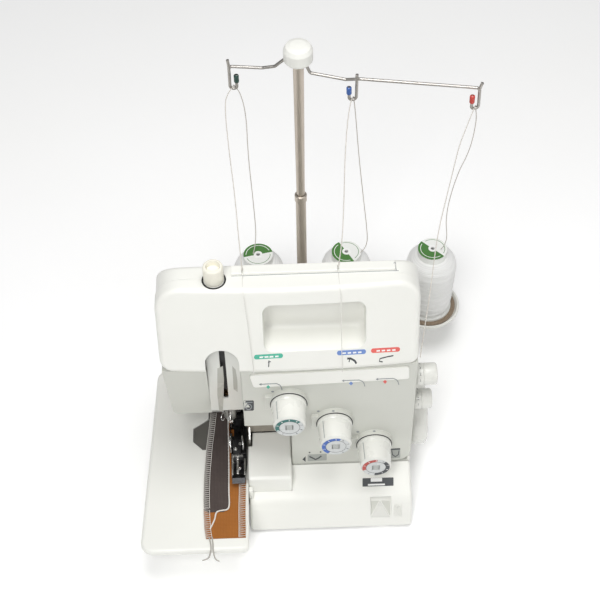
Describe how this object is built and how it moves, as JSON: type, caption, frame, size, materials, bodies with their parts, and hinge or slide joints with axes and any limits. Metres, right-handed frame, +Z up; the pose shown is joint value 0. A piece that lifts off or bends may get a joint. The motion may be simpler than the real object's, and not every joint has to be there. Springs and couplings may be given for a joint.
{
  "type": "serger overlock machine",
  "caption": "Free-standing overlock sewing machine with folding looper cover, turning tension dials, handwheel, moving needle and presser foot, and a telescopic thread stand carrying cones.",
  "frame": {"origin": "middle of the footprint, on the surface that the rubber feet stand on", "axes": "+Z up, -Y towards the user (dial side), +X towards the handwheel"},
  "size_m": [0.3234, 0.324, 0.399],
  "materials": {
    "white_casing": "fine satin moulding",
    "white_dial": "smooth moulded",
    "cream_dial": "knurled moulding",
    "grey_plastic": "satin moulding",
    "black_plastic": "satin moulding",
    "rubber": "matt",
    "steel": "ground",
    "chrome": "polished",
    "casting": "as cast",
    "bronze": "sintered",
    "mast_grey": "satin",
    "tip_green": "coloured tips",
    "felt": "pressed felt",
    "thread": "spun thread",
    "cloth": "woven cloth",
    "core_green": "moulded cone"
  },
  "bodies": {
    "machine": {"base_pan": "white_casing", "rubber_feet": "rubber", "cloth_plate": "white_casing", "needle_plate": "grey_plastic", "rear_shell": "white_casing", "front_cover": "white_casing", "face_cover": "white_casing", "needle_window": "white_casing", "dial_panel": "white_casing", "case_screws": "steel", "main_frame": "casting", "bushes": "bronze", "motor": "black_plastic", "drive_belt": "rubber", "thread_guide_strip": "white_casing", "tension_guide_plate": "white_casing", "tension_studs": "steel", "tension_discs": "chrome", "tension_springs": "steel", "spool_stand": "white_casing", "spool_dishes": "white_casing", "felt_pads": "felt", "spool_cores": "core_green", "thread_windings": "thread", "mast_lower_tube": "mast_grey", "spool_threads": "thread", "mast_threads": "thread", "side_thread": "thread", "front_threads": "thread", "test_cloth": "cloth", "lower_knife": "steel", "inlet_socket": "black_plastic", "switch_frame": "black_plastic"},
    "looper_cover": {"looper_cover": "white_casing", "knife_guard": "white_casing"},
    "drive": {"main_shaft": "steel", "handwheel": "white_dial", "drive_pulley": "black_plastic"},
    "motor_pulley": {"motor_pulley": "steel"},
    "stitch_length_dial": {"stitch_length_dial": "white_dial"},
    "differential_dial": {"differential_dial": "white_dial"},
    "needle_tension_dial": {"needle_tension_dial": "white_dial"},
    "upper_looper_tension_dial": {"upper_looper_tension_dial": "white_dial"},
    "lower_looper_tension_dial": {"lower_looper_tension_dial": "white_dial"},
    "pressure_dial": {"pressure_dial": "cream_dial"},
    "presser": {"presser_bar": "steel", "presser_foot": "black_plastic"},
    "presser_lifter": {"presser_lifter": "steel"},
    "needle_bar": {"needle_bar": "steel", "needle_clamp": "steel", "needle": "chrome"},
    "lower_looper": {"lower_looper": "steel"},
    "upper_looper": {"upper_looper": "steel"},
    "upper_knife": {"upper_knife": "steel"},
    "feed_dogs": {"feed_dogs": "steel"},
    "mast": {"mast_upper_tube": "mast_grey", "mast_cap": "white_casing", "guide_wires": "steel", "guide_tips": "tip_green"},
    "power_switch": {"power_switch": "black_plastic"}
  },
  "joints": [
    {"name": "looper_cover_hinge", "type": "hinge", "parent": "machine", "child": "looper_cover", "pos_m": [0.015, -0.1036, 0.015], "axis": [1, 0, 0], "range_deg": [0, 80]},
    {"name": "handwheel_spin", "type": "hinge", "parent": "machine", "child": "drive", "pos_m": [0.093, -0.02, 0.062], "axis": [1, 0, 0], "continuous": true},
    {"name": "motor_spin", "type": "hinge", "parent": "machine", "child": "motor_pulley", "pos_m": [0.035, 0.042, 0.066], "axis": [1, 0, 0], "continuous": true},
    {"name": "stitch_length_turn", "type": "hinge", "parent": "machine", "child": "stitch_length_dial", "pos_m": [0.093, -0.05, 0.162], "axis": [1, 0, 0], "range_deg": [-120, 120]},
    {"name": "differential_turn", "type": "hinge", "parent": "machine", "child": "differential_dial", "pos_m": [0.093, -0.05, 0.1245], "axis": [1, 0, 0], "range_deg": [-120, 120]},
    {"name": "needle_tension_turn", "type": "hinge", "parent": "machine", "child": "needle_tension_dial", "pos_m": [-0.0214, -0.08, 0.156], "axis": [0, -1, 0], "range_deg": [-150, 150]},
    {"name": "upper_looper_tension_turn", "type": "hinge", "parent": "machine", "child": "upper_looper_tension_dial", "pos_m": [0.0199, -0.08, 0.1235], "axis": [0, -1, 0], "range_deg": [-150, 150]},
    {"name": "lower_looper_tension_turn", "type": "hinge", "parent": "machine", "child": "lower_looper_tension_dial", "pos_m": [0.0572, -0.08, 0.0865], "axis": [0, -1, 0], "range_deg": [-150, 150]},
    {"name": "pressure_turn", "type": "hinge", "parent": "machine", "child": "pressure_dial", "pos_m": [-0.0805, -0.04, 0.29], "axis": [0, 0, 1], "range_deg": [-170, 170]},
    {"name": "presser_lever", "type": "hinge", "parent": "machine", "child": "presser_lifter", "pos_m": [-0.071, 0.004, 0.15], "axis": [1, 0, 0], "range_deg": [0, 25]},
    {"name": "presser_lift", "type": "slide", "parent": "machine", "child": "presser", "axis": [0, 0, 1], "range_m": [0, 0.006]},
    {"name": "needle_stroke", "type": "slide", "parent": "machine", "child": "needle_bar", "axis": [0, 0, 1], "range_m": [-0.022, 0]},
    {"name": "lower_looper_swing", "type": "hinge", "parent": "machine", "child": "lower_looper", "pos_m": [-0.092, -0.015, 0.028], "axis": [0, 1, 0], "range_deg": [-8, 8]},
    {"name": "upper_looper_swing", "type": "hinge", "parent": "machine", "child": "upper_looper", "pos_m": [-0.052, -0.015, 0.026], "axis": [0, 1, 0], "range_deg": [-8, 8]},
    {"name": "upper_knife_stroke", "type": "slide", "parent": "machine", "child": "upper_knife", "axis": [0, 0, 1], "range_m": [-0.003, 0.003]},
    {"name": "feed_stroke", "type": "slide", "parent": "machine", "child": "feed_dogs", "axis": [0, 1, 0], "range_m": [-0.002, 0.002]},
    {"name": "mast_slide", "type": "slide", "parent": "machine", "child": "mast", "axis": [0, 0, 1], "range_m": [-0.045, 0], "deforming": ["spool_threads", "mast_threads", "side_thread"]},
    {"name": "power_rocker", "type": "hinge", "parent": "machine", "child": "power_switch", "pos_m": [0.0905, 0.0205, 0.04], "axis": [0, 1, 0], "range_deg": [0, 6]}
  ],
  "couplings": [
    {"joint": "motor_spin", "follows": "handwheel_spin", "ratio": 2.6667},
    {"joint": "presser_lift", "follows": "presser_lever", "m_per_rad": 0.013751}
  ]
}
